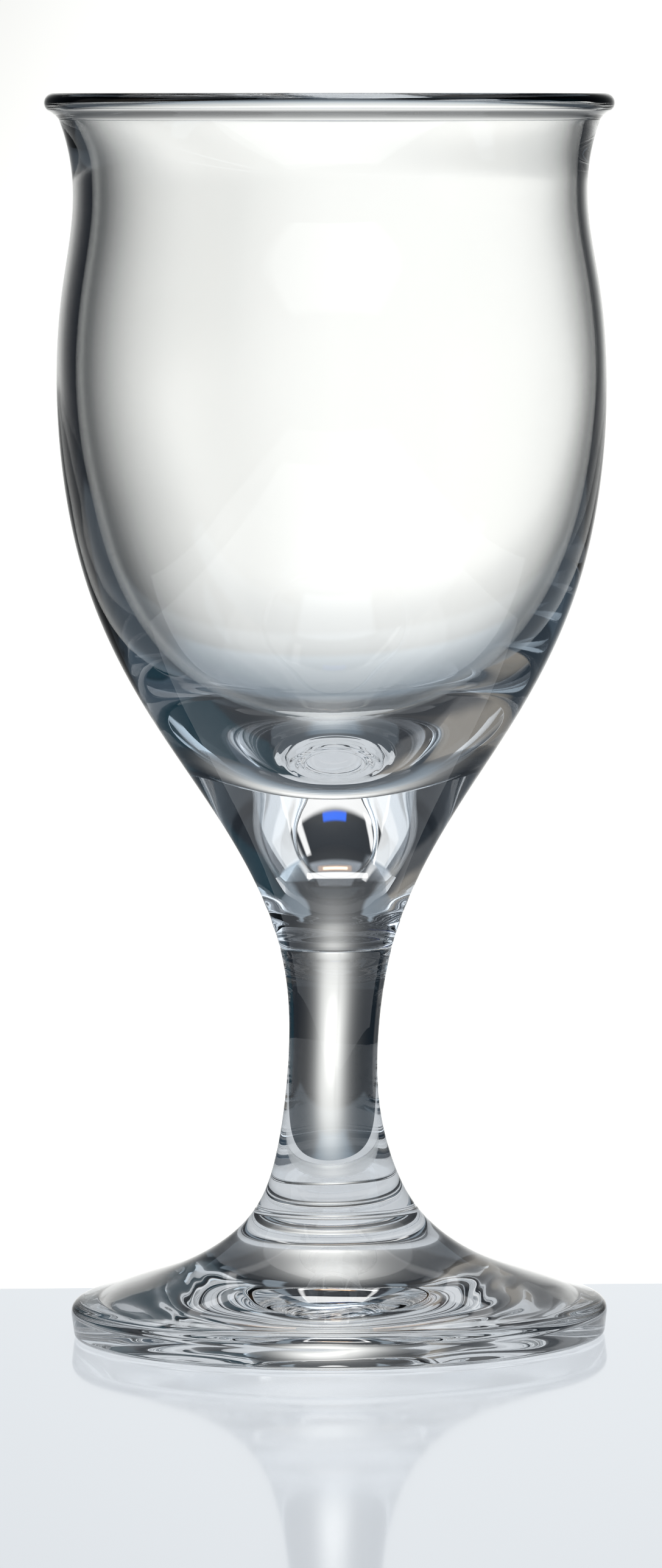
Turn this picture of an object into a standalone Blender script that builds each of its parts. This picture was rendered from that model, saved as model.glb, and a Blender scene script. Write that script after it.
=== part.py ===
"""A stemmed beer glass of clear glass, made of three gathers joined hot: bowl, stem and foot.

Units are metres and +Z is up. The glass stands on the XY plane, and its axis is the Z axis.
"""

from math import acos, asin, cos, exp, pi, sin, tan

import bpy
import numpy as np

# Foot: a thick disc with a round edge that sweeps up into the stem, hollow underneath
FOOT_HEIGHT = 0.0190
FOOT_DIAMETER = 0.0800
FOOT_SIDE_HEIGHT = 0.0032
FOOT_SIDE_LEAN = 0.0004
FOOT_HEEL_ROUND = 0.0008
FOOT_SHOULDER_HEIGHT = 0.0056
FOOT_SHOULDER_INSET = 0.0020
FOOT_SHOULDER_SLOPE = 0.234
FOOT_BROW_DIAMETER = 0.0624
FOOT_BROW_HEIGHT = 0.0078
FOOT_SWEEP_DIAMETER = 0.0494
FOOT_SWEEP_HEIGHT = 0.0100
FOOT_REST_WIDTH = 0.0050
FOOT_HOLLOW = 0.0038
FOOT_HOLLOW_FLATNESS = 2.3
FOOT_SAG = 0.0015
FOOT_SAG_SPREAD = 0.0152

# Stem: a solid rod drawn in to a waist
STEM_LENGTH = 0.0390
STEM_FOOT_DIAMETER = 0.0240
STEM_FLARE_DIAMETER = 0.0171
STEM_FLARE_HEIGHT = 0.0080
STEM_WAIST_DIAMETER = 0.0133
STEM_WAIST_HEIGHT = 0.0240
STEM_BOWL_DIAMETER = 0.0168

# Bowl: a solid tapered bottom under a thin wall that ends in a round bead
BOWL_HEIGHT = 0.1270
TAPER_LOW_DIAMETER = 0.0304
TAPER_LOW_HEIGHT = 0.0160
TAPER_HIGH_DIAMETER = 0.0568
TAPER_HIGH_HEIGHT = 0.0361
BELLY_DIAMETER = 0.0816
BELLY_DROP = 0.0430
NECK_DIAMETER = 0.0762
NECK_DROP = 0.0145
LIP_DIAMETER = 0.0800
LIP_DROP = 0.0040
LIP_LEAN = 0.37
BEAD_DIAMETER = 0.0029
BEAD_OVERHANG = 0.0022
WALL = 0.0022

# Cavity of the bowl: its floor lies above the solid bottom
FLOOR_THICKNESS = 0.0269
CAVITY_LOW_DIAMETER = 0.0430
CAVITY_LOW_RISE = 0.0113
CAVITY_HIGH_DIAMETER = 0.0644
CAVITY_HIGH_RISE = 0.0261

# Roundness of the bowl: share of the height and of the change in radius between two stations
SHOULDER = (0.34, 0.61)
FLANK = (0.67, 0.91)
UPPER_WALL = (0.49, 0.35)
CAVITY_FLANK = (0.42, 0.66)

# Where the bead turns into the wall below it, as an angle round its section from straight outwards
BEAD_UNDERSIDE = -0.33 * pi

# Hot joints: each piece ends in a shallow dome that sits in a dish of the next
SEAM_DOME = 0.0015
SEAM_GAP = 0.0003

# Fineness of the turned surfaces
TURN_STEPS = 48
POINT_SPACING = 0.0035
LEAST_SPAN_POINTS = 3
BEAD_POINTS = 6
BEND_POINTS = 5
EDGE_POINTS = 6
HEEL_POINTS = 3
DOME_POINTS = 4
HOLLOW_POINTS = 12
WELD_DISTANCE = 0.0001

# Finish of the glass
GLASS_TINT = (0.93, 0.96, 0.97, 1.0)
GLASS_ROUGHNESS = 0.02
GLASS_IOR = 1.52

STEM_BASE = FOOT_HEIGHT
BOWL_BASE = STEM_BASE + STEM_LENGTH
RIM_HEIGHT = BOWL_BASE + BOWL_HEIGHT


def between(low, high, shares):
    """The point that lies these shares of the radius and height from one station to another."""
    height_share, radius_share = shares
    radius = low[0] + radius_share * (high[0] - low[0])
    height = low[1] + height_share * (high[1] - low[1])
    return (radius, height)


def smooth_curve(stations, start_direction, end_direction):
    """A cubic spline through (radius, height) stations: one array of points for each span."""
    knots = np.array(stations)
    lengths = np.linalg.norm(np.diff(knots, axis=0), axis=1)
    last = len(knots) - 1
    matrix = np.zeros((last + 1, last + 1))
    sides = np.zeros((last + 1, 2))
    matrix[0, 0] = 1
    matrix[last, last] = 1
    sides[0] = np.array(start_direction) / np.linalg.norm(start_direction)
    sides[last] = np.array(end_direction) / np.linalg.norm(end_direction)
    for i in range(1, last):
        before = lengths[i - 1]
        after = lengths[i]
        matrix[i, i - 1] = 1 / before
        matrix[i, i] = 2 / before + 2 / after
        matrix[i, i + 1] = 1 / after
        rise_before = (knots[i] - knots[i - 1]) / before**2
        rise_after = (knots[i + 1] - knots[i]) / after**2
        sides[i] = 3 * (rise_before + rise_after)
    slopes = np.linalg.solve(matrix, sides)
    spans = []
    for i in range(last):
        count = max(LEAST_SPAN_POINTS, round(lengths[i] / POINT_SPACING))
        t = np.linspace(0, 1, count + 1)[:, None]
        from_here = (1 + 2 * t) * (1 - t) ** 2 * knots[i]
        to_next = t**2 * (3 - 2 * t) * knots[i + 1]
        leaving = t * (1 - t) ** 2 * lengths[i] * slopes[i]
        arriving = t**2 * (t - 1) * lengths[i] * slopes[i + 1]
        spans.append(from_here + to_next + leaving + arriving)
    return spans


def joined(spans):
    """The points of successive spans as one list, with each shared end kept once."""
    points = [tuple(spans[0][0])]
    for span in spans:
        points += [tuple(point) for point in span[1:]]
    return points


def cap(edge_radius, edge_height, rise, count):
    """A shallow round cap from the axis out to its edge, higher at the axis by rise."""
    sphere = (edge_radius**2 + rise**2) / (2 * abs(rise))
    half_angle = asin(edge_radius / sphere)
    side = 1 if rise > 0 else -1
    points = []
    for i in range(count + 1):
        angle = half_angle * i / count
        lift = sphere * (cos(angle) - cos(half_angle))
        points.append((sphere * sin(angle), edge_height + side * lift))
    return points


def bend(start, start_direction, end, end_direction, count):
    """A curve that leaves one point and reaches another along the given directions."""
    ahead = np.array([start_direction, (-end_direction[0], -end_direction[1])]).T
    reach = np.linalg.solve(ahead, np.array(end) - np.array(start))[0]
    corner = np.array(start) + reach * np.array(start_direction)
    points = []
    for i in range(count + 1):
        t = i / count
        point = (1 - t) ** 2 * np.array(start) + 2 * t * (1 - t) * corner + t**2 * np.array(end)
        points.append(tuple(point))
    return points


def rounded(before, corner, after, radius):
    """The points that round off the corner between two straight runs."""
    here = np.array(corner)
    back = (np.array(before) - here) / np.linalg.norm(np.array(before) - here)
    onward = (np.array(after) - here) / np.linalg.norm(np.array(after) - here)
    half_angle = acos(float(back @ onward)) / 2
    setback = radius / tan(half_angle)
    return bend(here + setback * back, -back, here + setback * onward, onward, HEEL_POINTS)


def bead_point(angle):
    centre_radius = LIP_DIAMETER / 2 + BEAD_OVERHANG - BEAD_DIAMETER / 2
    centre_height = RIM_HEIGHT - BEAD_DIAMETER / 2
    section = BEAD_DIAMETER / 2
    return (centre_radius + section * cos(angle), centre_height + section * sin(angle))


def foot_edge():
    """The edge of the foot, from its sloping top round and down its side to the ring that it rests on."""
    foot_radius = FOOT_DIAMETER / 2
    shoulder = (foot_radius - FOOT_SHOULDER_INSET, FOOT_SHOULDER_HEIGHT)
    side_top = (foot_radius, FOOT_SIDE_HEIGHT)
    heel = (foot_radius - FOOT_SIDE_LEAN, 0.0)
    ring = (heel[0] - FOOT_REST_WIDTH, 0.0)
    down_the_shoulder = (1.0, -FOOT_SHOULDER_SLOPE)
    down_the_side = (-FOOT_SIDE_LEAN, -FOOT_SIDE_HEIGHT)
    round_edge = bend(shoulder, down_the_shoulder, side_top, down_the_side, EDGE_POINTS)
    heel_round = rounded(side_top, heel, ring, FOOT_HEEL_ROUND)
    return round_edge[1:] + heel_round


def foot_hollow():
    """The hollow under the foot, from the axis out to the ring. Its middle sagged while it was hot."""
    ring_radius = FOOT_DIAMETER / 2 - FOOT_SIDE_LEAN - FOOT_REST_WIDTH
    points = []
    for i in range(HOLLOW_POINTS + 1):
        share = i / HOLLOW_POINTS
        radius = ring_radius * share
        arch = FOOT_HOLLOW * (1 - share**FOOT_HOLLOW_FLATNESS)
        points.append((radius, arch - foot_sag(radius) + foot_sag(ring_radius)))
    return points


def foot_sag(radius):
    return FOOT_SAG * exp(-((radius / FOOT_SAG_SPREAD) ** 2))


def outside_stations():
    """(radius, height) of foot, stem and bowl, from the shoulder of the foot to the lip."""
    foot_radius = FOOT_DIAMETER / 2
    foot_shoulder = (foot_radius - FOOT_SHOULDER_INSET, FOOT_SHOULDER_HEIGHT)
    brow = (FOOT_BROW_DIAMETER / 2, FOOT_BROW_HEIGHT)
    sweep = (FOOT_SWEEP_DIAMETER / 2, FOOT_SWEEP_HEIGHT)
    foot_seam = (STEM_FOOT_DIAMETER / 2, STEM_BASE)
    flare = (STEM_FLARE_DIAMETER / 2, STEM_BASE + STEM_FLARE_HEIGHT)
    waist = (STEM_WAIST_DIAMETER / 2, STEM_BASE + STEM_WAIST_HEIGHT)
    bowl_seam = (STEM_BOWL_DIAMETER / 2, BOWL_BASE)
    taper_low = (TAPER_LOW_DIAMETER / 2, BOWL_BASE + TAPER_LOW_HEIGHT)
    taper_high = (TAPER_HIGH_DIAMETER / 2, BOWL_BASE + TAPER_HIGH_HEIGHT)
    belly = (BELLY_DIAMETER / 2, RIM_HEIGHT - BELLY_DROP)
    neck = (NECK_DIAMETER / 2, RIM_HEIGHT - NECK_DROP)
    lip = (LIP_DIAMETER / 2, RIM_HEIGHT - LIP_DROP)
    shoulder = between(taper_high, belly, SHOULDER)
    flank = between(taper_high, belly, FLANK)
    upper_wall = between(belly, neck, UPPER_WALL)
    foot = [foot_shoulder, brow, sweep, foot_seam]
    stem = [flare, waist, bowl_seam]
    bowl = [taper_low, taper_high, shoulder, flank, belly, upper_wall, neck, lip]
    return foot, stem, bowl


def outside_curves():
    """The outside of foot, stem and bowl, each from its bottom to its top."""
    foot, stem, bowl = outside_stations()
    up_the_shoulder = (-1.0, FOOT_SHOULDER_SLOPE)
    spans = smooth_curve(foot + stem + bowl, up_the_shoulder, (LIP_LEAN, 1.0))
    foot_spans = len(foot) - 1
    stem_spans = foot_spans + len(stem)
    return (
        joined(spans[:foot_spans]),
        joined(spans[foot_spans:stem_spans]),
        joined(spans[stem_spans:]),
    )


def inside_curve():
    """The inside of the bowl, from the middle of its floor up to the lip."""
    floor = (0.0, BOWL_BASE + FLOOR_THICKNESS)
    low = (CAVITY_LOW_DIAMETER / 2, floor[1] + CAVITY_LOW_RISE)
    high = (CAVITY_HIGH_DIAMETER / 2, floor[1] + CAVITY_HIGH_RISE)
    belly = (BELLY_DIAMETER / 2 - WALL, RIM_HEIGHT - BELLY_DROP)
    neck = (NECK_DIAMETER / 2 - WALL, RIM_HEIGHT - NECK_DROP)
    lip = (LIP_DIAMETER / 2 - WALL, RIM_HEIGHT - LIP_DROP)
    flank = between(high, belly, CAVITY_FLANK)
    upper_wall = between(belly, neck, UPPER_WALL)
    stations = [floor, low, high, flank, belly, upper_wall, neck, lip]
    return joined(smooth_curve(stations, (1.0, 0.0), (LIP_LEAN, 1.0)))


def rim_curve(inner_lip, outer_lip):
    """The rim, from the inside of the lip over the bead and down to the outside of the lip."""
    upwards = (LIP_LEAN, 1.0)
    inner = bend(inner_lip, upwards, bead_point(pi / 2), (1.0, 0.0), BEND_POINTS)
    turn = BEAD_UNDERSIDE - pi / 2
    outer = [bead_point(pi / 2 + turn * i / BEAD_POINTS) for i in range(1, BEAD_POINTS + 1)]
    heading = (sin(BEAD_UNDERSIDE), -cos(BEAD_UNDERSIDE))
    downwards = (-LIP_LEAN, -1.0)
    under = bend(outer[-1], heading, outer_lip, downwards, BEND_POINTS)
    return inner + outer + under[1:]


def glass_material(name):
    material = bpy.data.materials.new(name)
    material.use_nodes = True
    shader = material.node_tree.nodes["Principled BSDF"]
    shader.inputs["Base Color"].default_value = GLASS_TINT
    shader.inputs["Roughness"].default_value = GLASS_ROUGHNESS
    shader.inputs["Metallic"].default_value = 0.0
    shader.inputs["IOR"].default_value = GLASS_IOR
    shader.inputs["Transmission Weight"].default_value = 1.0
    return material


def turned_piece(name, profile, base, collection, parent):
    """A solid of revolution from a profile that runs from the axis, down the outside, to the axis."""
    mesh = bpy.data.meshes.new(name)
    points = [(radius, 0.0, height - base) for radius, height in profile]
    edges = [(i, i + 1) for i in range(len(points) - 1)]
    mesh.from_pydata(points, edges, [])
    piece = bpy.data.objects.new(name, mesh)
    piece.location = (0.0, 0.0, base)
    piece.parent = parent
    mesh.materials.append(glass_material(name + "_glass"))
    turn = piece.modifiers.new("turn", "SCREW")
    turn.axis = "Z"
    turn.steps = TURN_STEPS
    turn.render_steps = TURN_STEPS
    turn.use_merge_vertices = True
    turn.merge_threshold = WELD_DISTANCE
    turn.use_smooth_shade = True
    collection.objects.link(piece)
    return piece


def make_foot(outside, collection, parent):
    seam_radius, seam_height = outside[-1]
    dish = cap(seam_radius, seam_height - SEAM_GAP, -SEAM_DOME, DOME_POINTS)
    profile = dish + outside[-2::-1] + foot_edge() + foot_hollow()[::-1]
    return turned_piece("foot", profile, 0.0, collection, parent)


def make_stem(outside, collection, parent):
    top_radius, top_height = outside[-1]
    low_radius, low_height = outside[0]
    dish = cap(top_radius, top_height - SEAM_GAP, -SEAM_DOME, DOME_POINTS)
    dome = cap(low_radius, low_height, -SEAM_DOME, DOME_POINTS)
    profile = dish + outside[-2:0:-1] + dome[::-1]
    return turned_piece("stem", profile, STEM_BASE, collection, parent)


def make_bowl(outside, collection, parent):
    seam_radius, seam_height = outside[0]
    dome = cap(seam_radius, seam_height, -SEAM_DOME, DOME_POINTS)
    inside = inside_curve()
    rim = rim_curve(inside[-1], outside[-1])
    profile = inside + rim[1:-1] + outside[:0:-1] + dome[::-1]
    return turned_piece("bowl", profile, BOWL_BASE, collection, parent)


def main():
    for old in list(bpy.data.objects):
        bpy.data.objects.remove(old, do_unlink=True)
    collection = bpy.data.collections.new("beer_glass")
    bpy.context.scene.collection.children.link(collection)
    axis = bpy.data.objects.new("glass_axis", None)
    collection.objects.link(axis)
    foot_side, stem_side, bowl_side = outside_curves()
    make_foot(foot_side, collection, axis)
    make_stem(stem_side, collection, axis)
    make_bowl(bowl_side, collection, axis)


main()
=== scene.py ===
"""The looks of a stemmed beer glass: bowl, stem and foot of hand-finished glass on a pale table."""

from math import cos, pi, radians, sin, tan, acos

import bpy
import numpy as np
from mathutils import Euler, Matrix


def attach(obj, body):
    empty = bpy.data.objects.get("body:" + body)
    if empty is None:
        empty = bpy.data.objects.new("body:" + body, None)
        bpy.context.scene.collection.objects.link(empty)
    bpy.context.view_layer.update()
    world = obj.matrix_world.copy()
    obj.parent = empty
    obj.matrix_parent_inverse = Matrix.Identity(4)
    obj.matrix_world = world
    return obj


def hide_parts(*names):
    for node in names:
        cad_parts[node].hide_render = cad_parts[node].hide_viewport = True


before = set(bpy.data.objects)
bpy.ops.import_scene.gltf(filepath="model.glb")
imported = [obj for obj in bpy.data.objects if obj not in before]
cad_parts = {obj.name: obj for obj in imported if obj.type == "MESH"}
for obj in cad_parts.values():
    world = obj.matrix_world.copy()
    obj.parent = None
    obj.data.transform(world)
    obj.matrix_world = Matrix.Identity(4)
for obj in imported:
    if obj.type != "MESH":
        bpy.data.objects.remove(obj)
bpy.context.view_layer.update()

# Foot, from the table up, in metres
FOOT_RADIUS = 0.0400
FOOT_SIDE_HEIGHT = 0.0032
FOOT_SIDE_LEAN = 0.0004
FOOT_HEEL_ROUND = 0.0008
FOOT_SHOULDER = (0.0380, 0.0056)
FOOT_SHOULDER_SLOPE = 0.234
FOOT_BROW = (0.0312, 0.0078)
FOOT_SWEEP = (0.0247, 0.0100)
FOOT_SEAM = (0.0120, 0.0190)
FOOT_REST_WIDTH = 0.0050
FOOT_HOLLOW = 0.0038
FOOT_HOLLOW_FLATNESS = 2.3
FOOT_SAG = 0.0015
FOOT_SAG_SPREAD = 0.0152

# Stem
STEM_FLARE = (0.00855, 0.0270)
STEM_WAIST = (0.00665, 0.0430)
BOWL_SEAM = (0.0084, 0.0580)

# Outside of the bowl, whose taper the hand left fuller low down and slimmer high up than drawn
TAPER_LOW_FULLER = 0.00017
TAPER_HIGH_SLIMMER = 0.00016
TAPER_LOW = (0.0152 + TAPER_LOW_FULLER, 0.0740)
TAPER_HIGH = (0.0284 - TAPER_HIGH_SLIMMER, 0.0941)
BOWL_SHOULDER = (0.03597, 0.11039)
BOWL_FLANK = (0.03968, 0.12619)
BELLY = (0.0408, 0.1420)
UPPER_WALL = (0.03986, 0.15597)
NECK = (0.0381, 0.1705)
LIP = (0.0400, 0.1810)
LIP_LEAN = 0.37
RIM_HEIGHT = 0.1850
BEAD_RADIUS = 0.00145
BEAD_OVERHANG = 0.0022
BEAD_UNDERSIDE = -0.33 * pi

# Inside of the bowl, whose floor the hand left higher in the middle and wider at its edge than drawn
WALL = 0.0022
FLOOR_HIGHER = 0.00036
FLOOR_WIDER = 0.0004
CAVITY_FLOOR = (0.0, 0.0849 + FLOOR_HIGHER)
CAVITY_DISH = (0.0080, 0.08687)
CAVITY_BANK = (0.0160, 0.09147)
CAVITY_LOW = (0.0215 + FLOOR_WIDER, 0.0962)
CAVITY_HIGH = (0.0322, 0.1110)
CAVITY_FLANK = (0.0364, 0.1240)

# Fineness of the turned surfaces
POINT_SPACING = 0.0007
RIPPLE_SPACING = 0.0003
LEAST_SPAN_POINTS = 4
ROUND_POINTS = 12
TURN_STEPS = 180

# What else the hand left: the cavity is off centre, the stem leans, its joint with the bowl is creased,
# the bottom of the bowl has turning ripples, its floor has rings, the rim is a little out of level,
# and the foot is wavy and a little thicker on its left
CAVITY_SHIFT = 0.0005
CAVITY_SHIFT_BEGINS = (0.088, 0.125)
CAVITY_SHIFT_ENDS = (0.172, 0.181)
STEM_LEAN = -0.00085
STEM_LEAN_HEIGHT = 0.0335
STEM_LEAN_SPREAD = 0.0150
CREASE_DEPTH = 0.00010
CREASE_SPREAD = 0.0004
RIPPLE_DEPTH = 0.000030
RIPPLE_LENGTH = 0.0034
RIPPLE_HEIGHT = 0.0622
RIPPLE_SPREAD = 0.0045
FLOOR_RING_DEPTH = 0.000004
FLOOR_RING_SPACING = 0.0011
FLOOR_RINGS_END = (0.0055, 0.0080)
RIM_TILT = -0.0080
RIM_DROP = 0.00015
RIM_TILT_START = 0.150
FOOT_TILT = -0.00225
# Waves of the foot: depth, count round the foot, turn of the first, radius, spread.
# Those underneath fade out where the hollow meets the ring that the foot rests on
UNDER_WAVES_START = 0.0008
FOOT_TOP_WAVES = (
    (0.00009, 3, 0.7, 0.0270, 0.0070),
    (0.00006, 5, 2.1, 0.0215, 0.0050),
    (0.00003, 9, 0.3, 0.0320, 0.0050),
)
FOOT_UNDER_WAVES = (
    (0.00012, 2, 1.1, 0.0190, 0.0080),
    (0.00008, 5, 5.1, 0.0250, 0.0060),
    (0.00005, 8, 0.4, 0.0300, 0.0045),
    (0.00004, 11, 2.9, 0.0210, 0.0060),
)

# Clear glass: cords are faint upright streaks in the melt, smears are what the wiping cloth leaves
GLASS_TINT = (0.994, 0.997, 0.993, 1.0)
CORD_TINT = (0.984, 0.989, 0.984, 1.0)
CORD_SCALE = 190.0
CORD_STRETCH = 0.22
CORD_DETAIL = 2.0
CORD_DEPTH = 0.0000025
SMEAR_SCALE = 75.0
SMEAR_DETAIL = 5.0
SMEAR_START = 0.50
SMEAR_FULL = 0.75
SMEAR_ROUGHNESS = 0.018
GLASS_IOR = 1.52


def smooth_curve(stations, start_direction, end_direction, rippled=()):
    """A cubic spline through (radius, height) stations, with points close together at the rippled ones.

    Gives the points, and the place of each station among them.
    """
    knots = np.array(stations)
    lengths = np.linalg.norm(np.diff(knots, axis=0), axis=1)
    last = len(knots) - 1
    matrix = np.zeros((last + 1, last + 1))
    sides = np.zeros((last + 1, 2))
    matrix[0, 0] = 1
    matrix[last, last] = 1
    sides[0] = np.array(start_direction) / np.linalg.norm(start_direction)
    sides[last] = np.array(end_direction) / np.linalg.norm(end_direction)
    for i in range(1, last):
        before = lengths[i - 1]
        after = lengths[i]
        matrix[i, i - 1] = 1 / before
        matrix[i, i] = 2 / before + 2 / after
        matrix[i, i + 1] = 1 / after
        rise_before = (knots[i] - knots[i - 1]) / before**2
        rise_after = (knots[i + 1] - knots[i]) / after**2
        sides[i] = 3 * (rise_before + rise_after)
    slopes = np.linalg.solve(matrix, sides)
    points = [knots[0]]
    places = [0]
    for i in range(last):
        fine = stations[i] in rippled or stations[i + 1] in rippled
        spacing = RIPPLE_SPACING if fine else POINT_SPACING
        count = max(LEAST_SPAN_POINTS, round(lengths[i] / spacing))
        t = np.linspace(0, 1, count + 1)[1:, None]
        from_here = (1 + 2 * t) * (1 - t) ** 2 * knots[i]
        to_next = t**2 * (3 - 2 * t) * knots[i + 1]
        leaving = t * (1 - t) ** 2 * lengths[i] * slopes[i]
        arriving = t**2 * (t - 1) * lengths[i] * slopes[i + 1]
        points.extend(from_here + to_next + leaving + arriving)
        places.append(len(points) - 1)
    return np.array(points), places


def bend(start, start_direction, end, end_direction, count):
    """Points that leave one place and reach another along the given directions."""
    start = np.array(start)
    end = np.array(end)
    ahead = np.array([start_direction, (-end_direction[0], -end_direction[1])]).T
    corner = start + np.linalg.solve(ahead, end - start)[0] * np.array(start_direction)
    t = np.linspace(0, 1, count + 1)[:, None]
    return (1 - t) ** 2 * start + 2 * t * (1 - t) * corner + t**2 * end


def rounded(before, corner, after, radius):
    """Points that round off the corner between two straight runs."""
    here = np.array(corner)
    back = (np.array(before) - here) / np.linalg.norm(np.array(before) - here)
    onward = (np.array(after) - here) / np.linalg.norm(np.array(after) - here)
    setback = radius / tan(acos(float(back @ onward)) / 2)
    return bend(here + setback * back, -back, here + setback * onward, onward, ROUND_POINTS)


def outside_profiles():
    """The outsides of foot, stem and bowl, each from its bottom to its top."""
    stations = [FOOT_SHOULDER, FOOT_BROW, FOOT_SWEEP, FOOT_SEAM, STEM_FLARE, STEM_WAIST, BOWL_SEAM]
    stations += [TAPER_LOW, TAPER_HIGH, BOWL_SHOULDER, BOWL_FLANK, BELLY, UPPER_WALL, NECK, LIP]
    points, places = smooth_curve(stations, (-1.0, FOOT_SHOULDER_SLOPE), (LIP_LEAN, 1.0), [BOWL_SEAM])
    foot_end = places[stations.index(FOOT_SEAM)]
    stem_end = places[stations.index(BOWL_SEAM)]
    return points[: foot_end + 1], points[foot_end : stem_end + 1], points[stem_end:]


def cavity_profile():
    """The inside of the bowl, from the middle of its floor up to the lip."""
    stations = [CAVITY_FLOOR, CAVITY_DISH, CAVITY_BANK, CAVITY_LOW, CAVITY_HIGH, CAVITY_FLANK]
    stations += [(radius - WALL, height) for radius, height in (BELLY, UPPER_WALL, NECK, LIP)]
    return smooth_curve(stations, (1.0, 0.0), (LIP_LEAN, 1.0), [CAVITY_FLOOR])[0]


def rim_profile(inner_lip, outer_lip):
    """The rim, from the inside of the lip over the bead and down to the outside of the lip."""
    centre = np.array((LIP[0] + BEAD_OVERHANG - BEAD_RADIUS, RIM_HEIGHT - BEAD_RADIUS))
    top = centre + (0.0, BEAD_RADIUS)
    inner = bend(inner_lip, (LIP_LEAN, 1.0), top, (1.0, 0.0), ROUND_POINTS)
    angles = np.linspace(pi / 2, BEAD_UNDERSIDE, 2 * ROUND_POINTS)[1:]
    outer = centre + BEAD_RADIUS * np.stack([np.cos(angles), np.sin(angles)], 1)
    heading = (sin(BEAD_UNDERSIDE), -cos(BEAD_UNDERSIDE))
    under = bend(outer[-1], heading, outer_lip, (-LIP_LEAN, -1.0), ROUND_POINTS)
    return np.concatenate([inner[1:], outer, under[1:-1]])


def foot_edge_profile():
    """The edge of the foot, from its sloping top down its side to the ring that it rests on."""
    side_top = (FOOT_RADIUS, FOOT_SIDE_HEIGHT)
    heel = (FOOT_RADIUS - FOOT_SIDE_LEAN, 0.0)
    ring = (heel[0] - FOOT_REST_WIDTH, 0.0)
    down_the_side = (-FOOT_SIDE_LEAN, -FOOT_SIDE_HEIGHT)
    round_edge = bend(FOOT_SHOULDER, (1.0, -FOOT_SHOULDER_SLOPE), side_top, down_the_side, ROUND_POINTS)
    heel_round = rounded(side_top, heel, ring, FOOT_HEEL_ROUND)
    return np.concatenate([round_edge[1:], heel_round])


def foot_hollow_profile():
    """The hollow under the foot, from the ring in to the axis."""
    ring_radius = FOOT_RADIUS - FOOT_SIDE_LEAN - FOOT_REST_WIDTH
    share = np.linspace(1, 0, round(ring_radius / POINT_SPACING) + 1)
    radius = ring_radius * share
    sag = hump(radius, 0, FOOT_SAG_SPREAD) - hump(ring_radius, 0, FOOT_SAG_SPREAD)
    height = FOOT_HOLLOW * (1 - share**FOOT_HOLLOW_FLATNESS) - FOOT_SAG * sag
    return np.stack([radius, height], 1)


def ease(x, low, high):
    """Rises smoothly from 0 at low to 1 at high."""
    t = np.clip((x - low) / (high - low), 0, 1)
    return t * t * (3 - 2 * t)


def hump(x, middle, spread):
    """A smooth bump, 1 at its middle."""
    return np.exp(-(((x - middle) / spread) ** 2))


def waves(table, radius, angle):
    """The sum of a table's waves round the foot, each strongest at its own radius."""
    total = 0.0 * radius * angle
    for depth, count, turn, middle, spread in table:
        total = total + depth * np.cos(count * angle + turn) * hump(radius, middle, spread)
    return total


def rim_lean(radius, height, angle):
    """The lift along z that puts the top of the bowl out of level."""
    return ease(height, RIM_TILT_START, LIP[1]) * (RIM_TILT * radius * np.cos(angle) - RIM_DROP)


def hand_outside(radius, height, angle):
    """How the outside departs from a true turned form: change of radius, shift along x, lift along z."""
    crease = -CREASE_DEPTH * hump(height, BOWL_SEAM[1], CREASE_SPREAD)
    ripple = np.cos(2 * pi * height / RIPPLE_LENGTH) * hump(height, RIPPLE_HEIGHT, RIPPLE_SPREAD)
    lean = STEM_LEAN * hump(height, STEM_LEAN_HEIGHT, STEM_LEAN_SPREAD)
    on_the_foot = ease(height, 0.0, FOOT_SIDE_HEIGHT) * (1 - ease(height, FOOT_SWEEP[1], FOOT_SEAM[1]))
    uneven = FOOT_TILT * radius * np.cos(angle) + waves(FOOT_TOP_WAVES, radius, angle)
    return crease + RIPPLE_DEPTH * ripple, lean, on_the_foot * uneven + rim_lean(radius, height, angle)


def hand_cavity(radius, height, angle):
    """The same for the inside of the bowl."""
    shift = CAVITY_SHIFT * ease(height, *CAVITY_SHIFT_BEGINS) * (1 - ease(height, *CAVITY_SHIFT_ENDS))
    fading = (1 - ease(radius, *FLOOR_RINGS_END)) * (1 - ease(height, CAVITY_LOW[1], CAVITY_HIGH[1]))
    rings = np.cos(2 * pi * radius / FLOOR_RING_SPACING) * fading
    return 0.0, shift, FLOOR_RING_DEPTH * rings + rim_lean(radius, height, angle)


def hand_hollow(radius, height, angle):
    """The same for the hollow under the foot."""
    return 0.0, 0.0, waves(FOOT_UNDER_WAVES, radius, angle) * ease(height, 0.0, UNDER_WAVES_START)


def turned(profile, hand):
    """Rings of points turned round the axis from (radius, height) points, as the hand left them."""
    radius = profile[:, 0][:, None]
    height = profile[:, 1][:, None]
    angle = np.linspace(0, 2 * pi, TURN_STEPS, endpoint=False)[None, :]
    swell, shift, lift = hand(radius, height, angle)
    level = np.zeros_like(radius * angle)
    out = radius + swell
    return np.stack([out * np.cos(angle) + shift, out * np.sin(angle), height + lift + level], -1)


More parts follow.
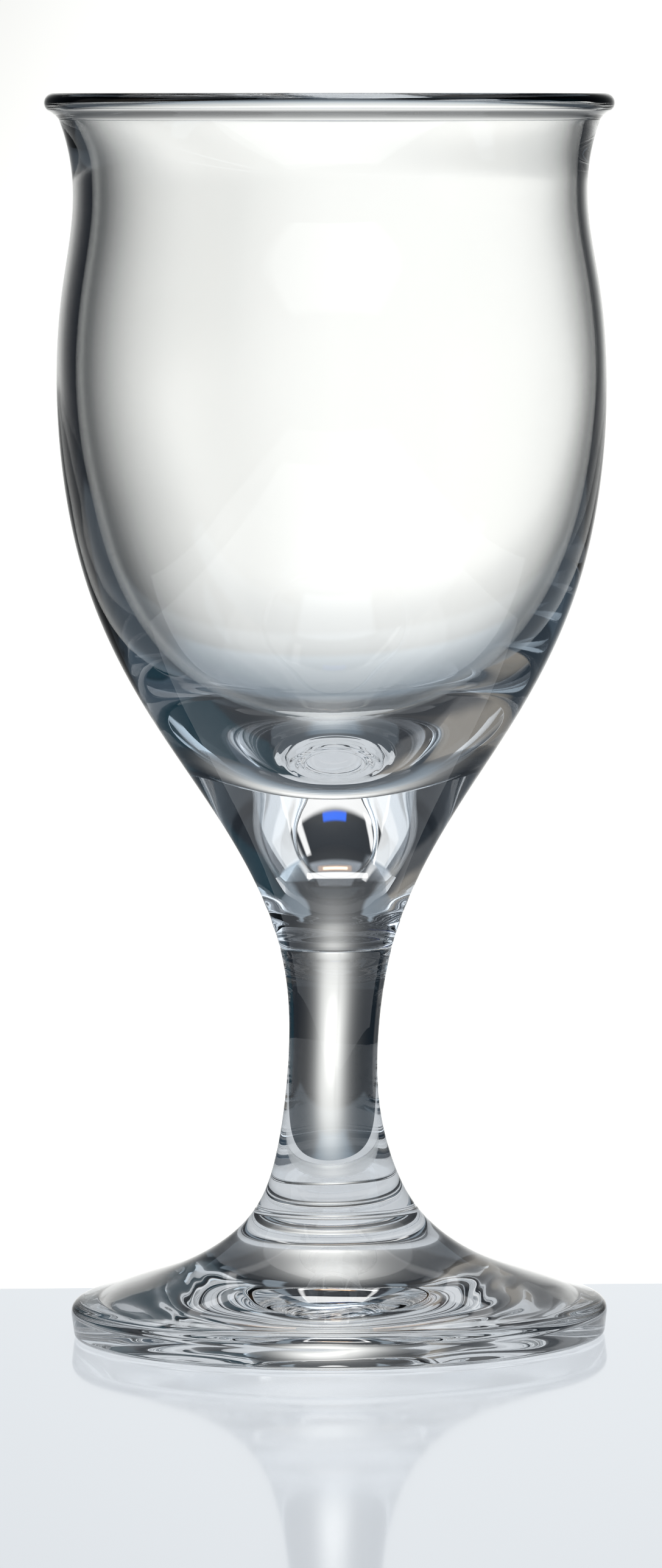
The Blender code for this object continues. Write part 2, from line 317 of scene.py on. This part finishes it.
def skin(name, rings, first_pole, last_pole, seams):
    """A closed mesh over rings of points, from one pole to the other.

    Faces that go on from a ring in seams take the joint's material; -1 stands for the first pole.
    """
    count = rings.shape[1]
    points = [tuple(first_pole)] + [tuple(p) for p in rings.reshape(-1, 3)] + [tuple(last_pole)]
    last = len(points) - 1
    faces = []
    kinds = []
    for j in range(count):
        faces.append((0, 1 + j, 1 + (j + 1) % count))
        kinds.append(int(-1 in seams))
    for i in range(len(rings) - 1):
        here = 1 + i * count
        below = here + count
        for j in range(count):
            onward = (j + 1) % count
            faces.append((here + j, below + j, below + onward, here + onward))
            kinds.append(int(i in seams))
    start = 1 + (len(rings) - 1) * count
    for j in range(count):
        faces.append((last, start + (j + 1) % count, start + j))
        kinds.append(int(len(rings) - 1 in seams))
    mesh = bpy.data.meshes.new(name)
    mesh.from_pydata(points, [], faces)
    mesh.polygons.foreach_set("material_index", kinds)
    mesh.polygons.foreach_set("use_smooth", [True] * len(faces))
    mesh.validate()
    piece = bpy.data.objects.new(name, mesh)
    bpy.context.scene.collection.objects.link(piece)
    return piece


class Socket:
    """A value in a node tree: arithmetic on it adds the nodes that work it out."""

    def __init__(self, tree, socket):
        self.tree = tree
        self.socket = socket

    def node(self, kind, settings=None, sockets=None, output=0):
        return add_node(self.tree, kind, settings, sockets, output)

    def maths(self, operation, *values):
        return self.node("ShaderNodeMath", {"operation": operation}, dict(enumerate(values)))

    def __add__(self, other):
        return self.maths("ADD", self, other)

    __radd__ = __add__

    def __mul__(self, other):
        return self.maths("MULTIPLY", self, other)

    __rmul__ = __mul__

    def __sub__(self, other):
        return self.maths("SUBTRACT", self, other)

    def __rsub__(self, other):
        return self.maths("SUBTRACT", other, self)

    def __truediv__(self, other):
        return self.maths("DIVIDE", self, other)

    def __rtruediv__(self, other):
        return self.maths("DIVIDE", other, self)


def add_node(tree, kind, settings=None, sockets=None, output=0):
    """Adds a node, sets its settings, then the values or links of its sockets; gives one output."""
    node = tree.nodes.new(kind)
    for name, value in (settings or {}).items():
        setattr(node, name, value)
    for name, value in (sockets or {}).items():
        if isinstance(value, Socket):
            tree.links.new(value.socket, node.inputs[name])
        else:
            node.inputs[name].default_value = value
    return Socket(tree, node.outputs[output]) if node.outputs else None


def empty_material(name):
    """A new material with no nodes in it yet."""
    material = bpy.data.materials.new(name)
    material.use_nodes = True
    material.node_tree.nodes.clear()
    return material


def clear_glass():
    """Fire-polished clear glass, with faint cords in it and smears on it."""
    material = empty_material("clear_glass")
    tree = material.node_tree
    place = add_node(tree, "ShaderNodeTexCoord", output="Object")
    upright = add_node(
        tree,
        "ShaderNodeMapping",
        {},
        {"Vector": place, "Scale": (1.0, 1.0, CORD_STRETCH)},
    )
    cords = add_node(
        tree,
        "ShaderNodeTexNoise",
        {},
        {"Vector": upright, "Scale": CORD_SCALE, "Detail": CORD_DETAIL},
    )
    wiping = add_node(
        tree,
        "ShaderNodeTexNoise",
        {},
        {"Vector": place, "Scale": SMEAR_SCALE, "Detail": SMEAR_DETAIL},
    )
    smears = add_node(
        tree,
        "ShaderNodeMapRange",
        {"interpolation_type": "SMOOTHSTEP"},
        {"Value": wiping, "From Min": SMEAR_START, "From Max": SMEAR_FULL, "To Max": SMEAR_ROUGHNESS},
    )
    tint = add_node(
        tree,
        "ShaderNodeMix",
        {"data_type": "RGBA"},
        {0: cords, 6: GLASS_TINT, 7: CORD_TINT},
        output=2,
    )
    waver = add_node(
        tree,
        "ShaderNodeBump",
        {},
        {"Strength": 1.0, "Distance": CORD_DEPTH, "Height": cords},
    )
    shader = add_node(
        tree,
        "ShaderNodeBsdfPrincipled",
        {},
        {
            "Base Color": tint,
            "Roughness": smears,
            "IOR": GLASS_IOR,
            "Transmission Weight": 1.0,
            "Normal": waver,
        },
    )
    add_node(tree, "ShaderNodeOutputMaterial", {}, {"Surface": shader})
    return material


def fused_joint():
    """Where two gathers were joined hot nothing is left to see."""
    material = empty_material("fused_joint")
    tree = material.node_tree
    shader = add_node(tree, "ShaderNodeBsdfTransparent")
    add_node(tree, "ShaderNodeOutputMaterial", {}, {"Surface": shader})
    return material


def make_glass():
    foot_side, stem_side, bowl_side = outside_profiles()
    cavity = cavity_profile()
    glass = clear_glass()
    joint = fused_joint()

    wall = turned(cavity[1:], hand_cavity)
    rim = turned(rim_profile(cavity[-1], bowl_side[-1]), hand_outside)
    outside = turned(bowl_side[::-1], hand_outside)
    rings = np.concatenate([wall, rim, outside])
    floor = (0.0, 0.0, CAVITY_FLOOR[1])
    bowl = skin("bowl_glass", rings, floor, (0.0, 0.0, BOWL_SEAM[1]), {len(rings) - 1})

    rings = turned(stem_side[::-1], hand_outside)
    top = (0.0, 0.0, BOWL_SEAM[1])
    stem = skin("stem_glass", rings, top, (0.0, 0.0, FOOT_SEAM[1]), {-1, len(rings) - 1})

    outside = turned(np.concatenate([foot_side[::-1], foot_edge_profile()]), hand_outside)
    hollow = foot_hollow_profile()
    under = turned(hollow[:-1], hand_hollow)
    rings = np.concatenate([outside, under])
    top = (0.0, 0.0, FOOT_SEAM[1])
    foot = skin("foot_glass", rings, top, (0.0, 0.0, hollow[-1, 1]), {-1})

    for piece, node in ((bowl, "bowl"), (stem, "stem"), (foot, "foot")):
        piece.data.materials.append(glass)
        piece.data.materials.append(joint)
        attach(piece, "root")
        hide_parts(node)


# Table
TABLE_WIDTH = 0.44
TABLE_BACK = 0.052
TABLE_FRONT = -0.60
TABLE_DROP = 0.0001
TABLE_THICKNESS = 0.006
TABLE_GREY = (0.20, 0.20, 0.20, 1.0)
TABLE_ROUGHNESS = 0.06
TABLE_GLOSS = 0.62
TABLE_GLOW = (1.46, 1.54, 1.63, 1.0)


def make_table():
    mesh = bpy.data.meshes.new("table")
    half = TABLE_WIDTH / 2
    top = -TABLE_DROP
    base = top - TABLE_THICKNESS
    corners = [(-half, TABLE_FRONT), (half, TABLE_FRONT), (half, TABLE_BACK), (-half, TABLE_BACK)]
    points = [(x, y, top) for x, y in corners] + [(x, y, base) for x, y in corners]
    faces = [(0, 1, 2, 3), (7, 6, 5, 4)]
    faces += [(i, i + 4, (i + 1) % 4 + 4, (i + 1) % 4) for i in range(4)]
    mesh.from_pydata(points, [], faces)
    table = bpy.data.objects.new("table", mesh)
    bpy.context.scene.collection.objects.link(table)
    material = empty_material("pale_table")
    tree = material.node_tree
    gloss = add_node(
        tree,
        "ShaderNodeBsdfPrincipled",
        {},
        {"Base Color": TABLE_GREY, "Roughness": TABLE_ROUGHNESS},
    )
    glow = add_node(tree, "ShaderNodeEmission", {}, {"Color": TABLE_GLOW, "Strength": 1.0})
    shader = add_node(tree, "ShaderNodeMixShader", {}, {0: TABLE_GLOSS, 1: glow, 2: gloss})
    add_node(tree, "ShaderNodeOutputMaterial", {}, {"Surface": shader})
    mesh.materials.append(material)


# Colours of the studio's lights, at a strength of one
WHITE = (1.00, 1.00, 1.00)
WARM_WHITE = (1.10, 1.00, 0.90)
DAYLIGHT = (0.95, 1.00, 1.05)
COOL_DAYLIGHT = (0.90, 1.00, 1.12)
SKYLIGHT = (0.82, 1.00, 1.17)
DUSK = (0.65, 1.00, 1.35)
TEAL = (0.00, 1.00, 1.50)
WOOD = (1.12, 1.00, 0.82)
LAMPLIGHT = (1.33, 1.00, 0.71)
EMBER = (2.10, 1.00, 0.30)
BLUE = (0.00, 0.14, 1.00)

# Studio: each light is a rectangle on a wall of a room, one unit away from the glass in every direction.
# Its wall; from and to across it; from and to along it; width of its soft edges; colour; strength
STUDIO_LIGHTS = {
    "left softbox": ("ceiling", (-1.00, -0.42), (-0.15, 0.66), 0.03, DAYLIGHT, 0.70),
    "right softbox": ("ceiling", (0.38, 1.00), (-0.15, 0.66), 0.03, DAYLIGHT, 0.60),
    "left strip": ("ceiling", (-0.85, -0.42), (-0.15, 0.30), 0.03, WARM_WHITE, 0.20),
    "right strip": ("ceiling", (0.38, 0.85), (-0.15, 0.30), 0.03, WHITE, 0.30),
    "left frame": ("slanting ceiling", (-0.37, -0.31), (-0.20, 0.10), 0.012, WHITE, 1.00),
    "right frame": ("ceiling", (0.265, 0.325), (-0.15, 0.10), 0.012, WHITE, 1.00),
    "left wing": ("ceiling", (-1.00, -0.62), (0.66, 2.20), 0.05, SKYLIGHT, 0.22),
    "right wing": ("ceiling", (0.62, 1.00), (0.66, 2.20), 0.05, SKYLIGHT, 0.22),
    "left tube": ("ceiling", (-0.44, -0.37), (0.66, 1.40), 0.02, WHITE, 0.75),
    "right tube": ("ceiling", (0.33, 0.39), (0.66, 1.40), 0.02, WHITE, 0.75),
    "blue gel": ("ceiling", (-0.08, 0.09), (0.040, 0.078), 0.008, BLUE, 1.00),
    "middle softbox": ("ceiling", (-0.43, 0.39), (0.086, 0.66), 0.015, WHITE, 0.98),
    "white card": ("back", (-0.34, 0.30), (0.655, 0.730), 0.010, WHITE, 0.98),
    "front softbox": ("ceiling", (-0.33, 0.33), (-0.70, -0.24), 0.03, COOL_DAYLIGHT, 1.40),
    "left fill": ("ceiling", (-2.60, -0.36), (-0.55, -0.15), 0.05, COOL_DAYLIGHT, 0.50),
    "right fill": ("ceiling", (0.36, 2.60), (-0.55, -0.15), 0.05, SKYLIGHT, 0.70),
    "front ceiling": ("ceiling", (-0.60, 0.60), (-1.60, -0.75), 0.05, SKYLIGHT, 0.35),
    "front left ceiling": ("ceiling", (-2.00, -0.60), (-1.60, -0.55), 0.05, COOL_DAYLIGHT, 0.09),
    "front right ceiling": ("ceiling", (0.60, 2.00), (-1.60, -0.55), 0.05, COOL_DAYLIGHT, 0.17),
    "warm lamp": ("back", (-0.11, 0.12), (0.760, 0.790), 0.010, LAMPLIGHT, 1.20),
    "lamp glow": ("back", (-0.15, 0.17), (0.745, 0.810), 0.020, EMBER, 0.17),
    "wooden wall": ("left", (-0.85, 0.20), (-0.12, 0.80), 0.15, WOOD, 0.17),
    "left wall": ("left", (-0.58, 0.70), (-0.36, 0.58), 0.10, WHITE, 0.075),
    "right wall": ("right", (-0.58, 0.70), (-0.36, 0.58), 0.10, TEAL, 0.02),
    "front right wall": ("front", (0.00, 1.73), (-0.58, 0.70), 0.10, DUSK, 0.06),
    "front left wall": ("front", (-1.73, 0.00), (-0.58, 0.70), 0.10, DUSK, 0.02),
    "bench behind": ("floor", (-0.50, 0.50), (1.20, 2.70), 0.15, DUSK, 0.09),
    "floor behind": ("floor", (-2.50, 2.50), (0.36, 3.70), 0.20, SKYLIGHT, 0.06),
}
BACK_LIGHTS_BOW = 1.15
WALL_FADE = 0.05
STUDIO_DARK = (0.006, 0.009, 0.014)
# The backdrop, a hot spot on it and a shade over it: middle and spread in degrees round and up
BACKDROP_COLOUR = (0.93, 0.935, 0.915)
BACKDROP_MIDDLE = (2.0, -4.5)
BACKDROP_SPREAD = (12.3, 20.0)
BACKDROP_EDGE = 4.0
HOT_SPOT_COLOUR = (0.27, 0.265, 0.255)
HOT_SPOT_MIDDLE = (1.5, -4.9)
HOT_SPOT_SPREAD = (6.6, 6.3)
HOT_SPOT_EDGE = 8.0
SHADE_COLOUR = (-0.13, -0.13, -0.13)
SHADE_MIDDLE = (-2.6, -4.0)
SHADE_SPREAD = (1.20, 9.0)


def make_studio():
    world = bpy.data.worlds.new("studio")
    bpy.context.scene.world = world
    world.use_nodes = True
    tree = world.node_tree
    tree.nodes.clear()
    toward = add_node(tree, "ShaderNodeTexCoord")
    x, y, z = (add_node(tree, "ShaderNodeSeparateXYZ", {}, {0: toward}, axis) for axis in range(3))
    left = 0.0 - x
    front = 0.0 - y
    down = 0.0 - z
    walls = {
        "ceiling": (x / z, y / z, z),
        "slanting ceiling": (x / z - y / z, y / z, z),
        "back": (x / y, z / y - BACK_LIGHTS_BOW * (x / y) * (x / y), y),
        "front": (x / front, z / front, front),
        "left": (y / left, z / left, left),
        "right": (y / x, z / x, x),
        "floor": (x / down, y / down, down),
    }

    def rise(value, middle, spread):
        return value.node(
            "ShaderNodeMapRange",
            {"interpolation_type": "SMOOTHSTEP"},
            {"Value": value, "From Min": middle - spread, "From Max": middle + spread},
        )

    def within(value, span, edge):
        return rise(value, span[0], edge) * (1.0 - rise(value, span[1], edge))

    def tinted(amount, colour):
        return amount.node("ShaderNodeVectorMath", {"operation": "SCALE"}, {0: colour, "Scale": amount})

    def together(first, second):
        return first.node("ShaderNodeVectorMath", {"operation": "ADD"}, {0: first, 1: second})

    degrees = 180 / pi
    azimuth = x.maths("ARCTAN2", x, y) * degrees
    elevation = x.maths("ARCSINE", z) * degrees

    def distance(middle, spread):
        across = (azimuth - middle[0]) / spread[0]
        along = (elevation - middle[1]) / spread[1]
        return x.maths("SQRT", across * across + along * along)

    from_backdrop = distance(BACKDROP_MIDDLE, BACKDROP_SPREAD)
    from_hot_spot = distance(HOT_SPOT_MIDDLE, HOT_SPOT_SPREAD)
    from_shade = distance(SHADE_MIDDLE, SHADE_SPREAD)
    backdrop = 1.0 / (1.0 + x.maths("POWER", from_backdrop, BACKDROP_EDGE))
    hot_spot = 1.0 / (1.0 + x.maths("POWER", from_hot_spot, HOT_SPOT_EDGE))
    shade = x.maths("EXPONENT", 0.0 - from_shade * from_shade)
    light = together(tinted(backdrop, BACKDROP_COLOUR), tinted(hot_spot, HOT_SPOT_COLOUR))
    light = together(light, tinted(shade, SHADE_COLOUR))
    light = together(light, STUDIO_DARK)
    for wall, wide, long, edge, colour, strength in STUDIO_LIGHTS.values():
        first, second, facing = walls[wall]
        on_wall = rise(facing, WALL_FADE, WALL_FADE)
        patch = within(first, wide, edge) * within(second, long, edge) * on_wall
        light = together(light, tinted(patch, tuple(strength * part for part in colour)))
    background = add_node(tree, "ShaderNodeBackground", {}, {"Color": light, "Strength": 1.0})
    add_node(tree, "ShaderNodeOutputWorld", {}, {"Surface": background})


# Camera, placed in metres and turned in degrees
CAMERA_PLACE = (-0.0006, -1.2872, 0.1835)
CAMERA_PITCH = -4.494
CAMERA_ROLL = -0.47
PHOTO_HEIGHT = 2576
FOCAL_PIXELS = 14250
SENSOR_HEIGHT = 36.0
NEAREST_SEEN = 0.01


def make_camera():
    data = bpy.data.cameras.new("camera")
    data.sensor_fit = "VERTICAL"
    data.sensor_height = SENSOR_HEIGHT
    data.lens = SENSOR_HEIGHT * FOCAL_PIXELS / PHOTO_HEIGHT
    data.clip_start = NEAREST_SEEN
    camera = bpy.data.objects.new("camera", data)
    camera.location = CAMERA_PLACE
    tilt = Euler((radians(90 + CAMERA_PITCH), 0, 0)).to_matrix()
    camera.rotation_euler = (tilt @ Matrix.Rotation(radians(CAMERA_ROLL), 3, "Z")).to_euler()
    bpy.context.scene.collection.objects.link(camera)
    bpy.context.scene.camera = camera


# How often light may bend or bounce in the thick glass before it is lost
GLASS_BOUNCES = 40
GLOSS_BOUNCES = 24


make_glass()
make_table()
make_studio()
make_camera()

scene = bpy.context.scene
scene.view_settings.view_transform = "Standard"
scene.cycles.max_bounces = GLASS_BOUNCES
scene.cycles.transmission_bounces = GLASS_BOUNCES
scene.cycles.glossy_bounces = GLOSS_BOUNCES
scene.cycles.transparent_max_bounces = GLASS_BOUNCES
